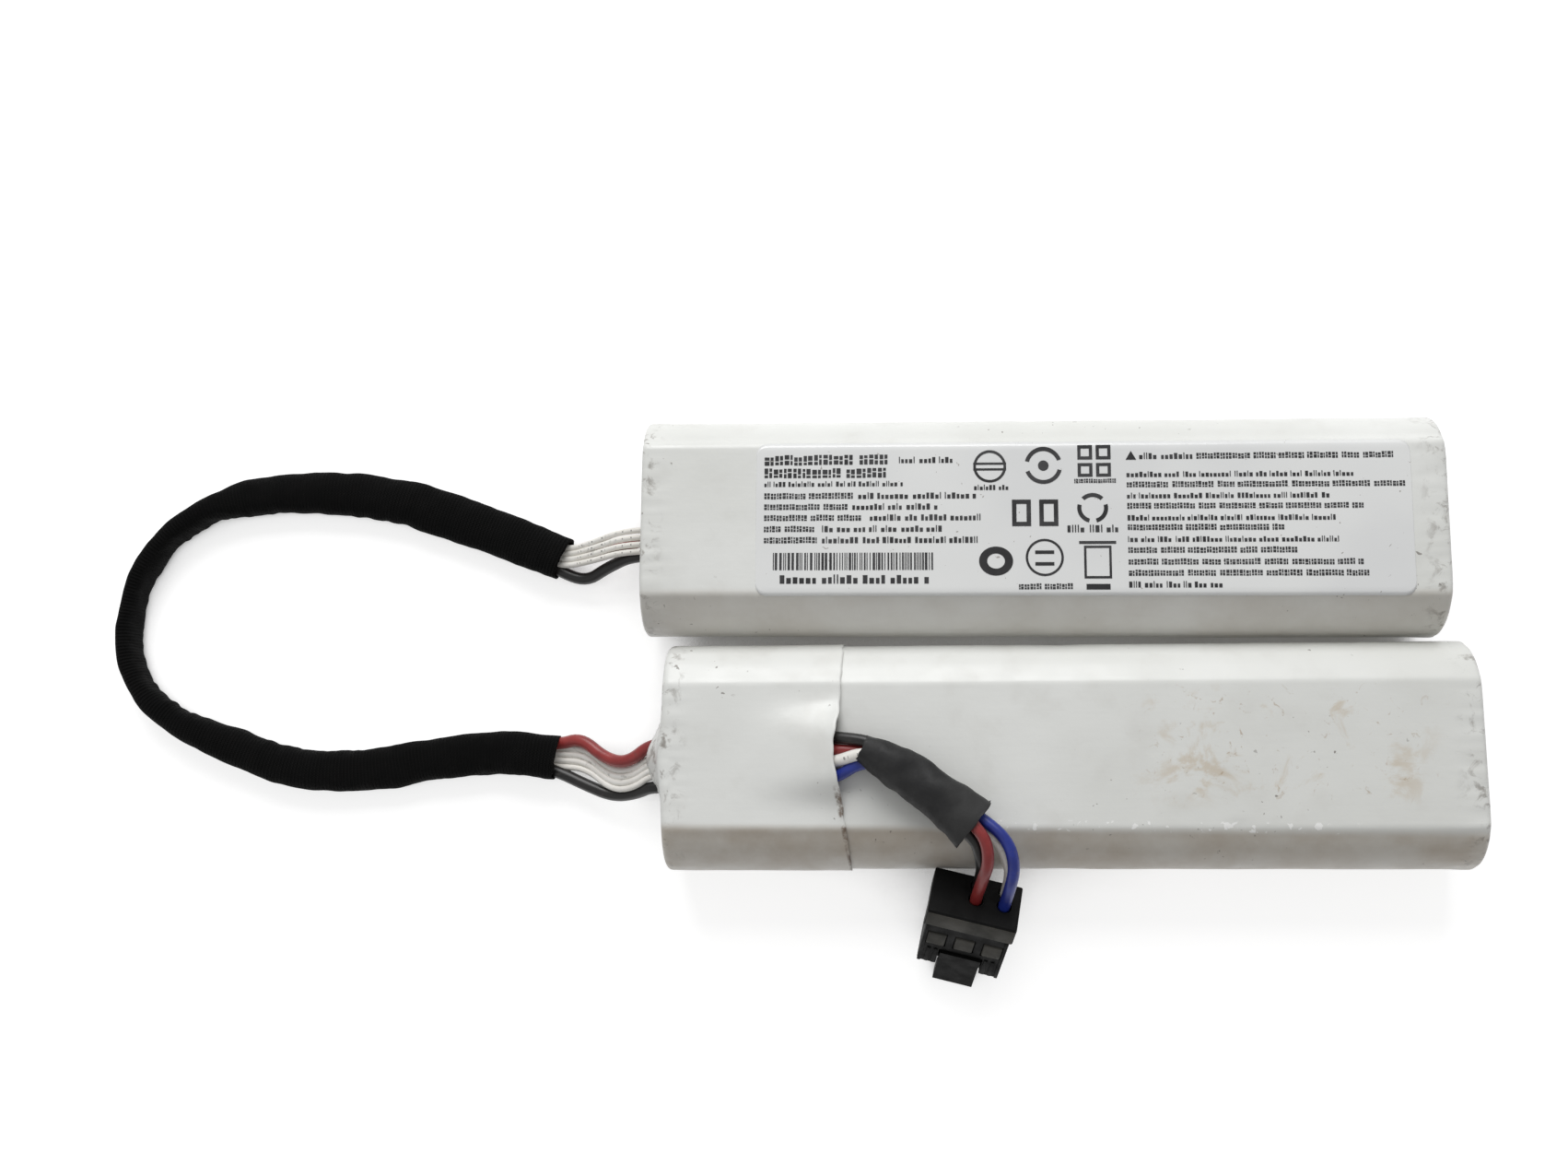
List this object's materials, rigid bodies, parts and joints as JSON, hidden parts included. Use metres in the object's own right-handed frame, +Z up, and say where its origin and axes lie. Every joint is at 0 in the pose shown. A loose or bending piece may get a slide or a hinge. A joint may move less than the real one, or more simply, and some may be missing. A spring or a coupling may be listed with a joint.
{
  "type": "battery pack",
  "caption": "Rechargeable pack of round cells in two shrink-wrapped sticks joined by a sleeved harness, with an output lead and a latching connector.",
  "frame": {"origin": "on the supporting surface, under the middle of the box round the two sticks", "axes": "+X along the sticks, away from the harness; +Y from stick B to stick A; +Z up"},
  "size_m": [0.242, 0.0992, 0.0273],
  "materials": {
    "cell_can": "satin nickel-plated steel",
    "cell_film": "shrink film",
    "paper": "vulcanised fibre paper",
    "nickel": "satin",
    "foam": "closed-cell foam",
    "wrap_film": "satin off-white shrink film, scuffed",
    "label_film": "semi-gloss sticker",
    "circuit_board": "solder mask",
    "component": "moulded",
    "woven_sleeve": "woven, ribbed across",
    "heat_shrink": "matte polyolefin",
    "wire_red": "satin PVC",
    "wire_black": "satin PVC",
    "wire_white": "satin PVC",
    "wire_blue": "satin PVC",
    "connector_plastic": "moulded nylon",
    "terminal": "tin plated"
  },
  "bodies": {
    "pack_a": {"cell_a_1": "cell_can", "cell_a_2": "cell_can", "cell_a_3": "cell_can", "cell_a_4": "cell_can", "cell_sleeves_a": "cell_film", "ring_insulators_a": "paper", "nickel_left_a": "nickel", "nickel_middle_a": "nickel", "nickel_right_a": "nickel", "end_board_right_a": "paper", "foam_pad_a": "foam", "paper_top_a": "paper", "paper_bottom_a": "paper", "return_wire_a": "wire_black", "wrap_a": "wrap_film", "end_board_left_a": "paper", "rating_label": "label_film", "harness_sleeve": "woven_sleeve", "harness_red": "wire_red", "harness_black": "wire_black", "harness_white_1": "wire_white", "harness_white_2": "wire_white", "harness_white_3": "wire_white", "harness_white_4": "wire_white"},
    "pack_b": {"cell_b_1": "cell_can", "cell_b_2": "cell_can", "cell_b_3": "cell_can", "cell_b_4": "cell_can", "cell_sleeves_b": "cell_film", "ring_insulators_b": "paper", "nickel_left_b": "nickel", "nickel_middle_b": "nickel", "nickel_right_b": "nickel", "end_board_right_b": "paper", "foam_pad_b": "foam", "paper_top_b": "paper", "paper_bottom_b": "paper", "return_wire_b": "wire_black", "wrap_b": "wrap_film", "outer_wrap_b": "wrap_film", "protection_board": "circuit_board", "power_switches": "component", "control_chip": "component", "board_small_parts": "component", "thermistor": "component", "lead_sleeve": "heat_shrink", "lead_black": "wire_black", "lead_red": "wire_red", "lead_white": "wire_white", "lead_blue": "wire_blue", "lead_inner_wires": "wire_black", "connector_housing": "connector_plastic", "connector_terminals": "terminal"},
    "latch": {"connector_latch": "connector_plastic"}
  },
  "joints": [
    {"name": "harness_swing", "type": "hinge", "parent": "pack_a", "child": "pack_b", "pos_m": [-0.167, 0.002, 0.0045], "axis": [0, 0, -1], "range_deg": [0, 90], "deforming": ["harness_sleeve", "harness_red", "harness_black", "harness_white_1", "harness_white_2", "harness_white_3", "harness_white_4"]},
    {"name": "latch_press", "type": "hinge", "parent": "pack_b", "child": "latch", "pos_m": [-0.01529, -0.05401, 0.00632], "axis": [-0.9751, 0.2215, 0], "range_deg": [0, 6], "stiffness_Nm_per_rad": 0.05}
  ]
}
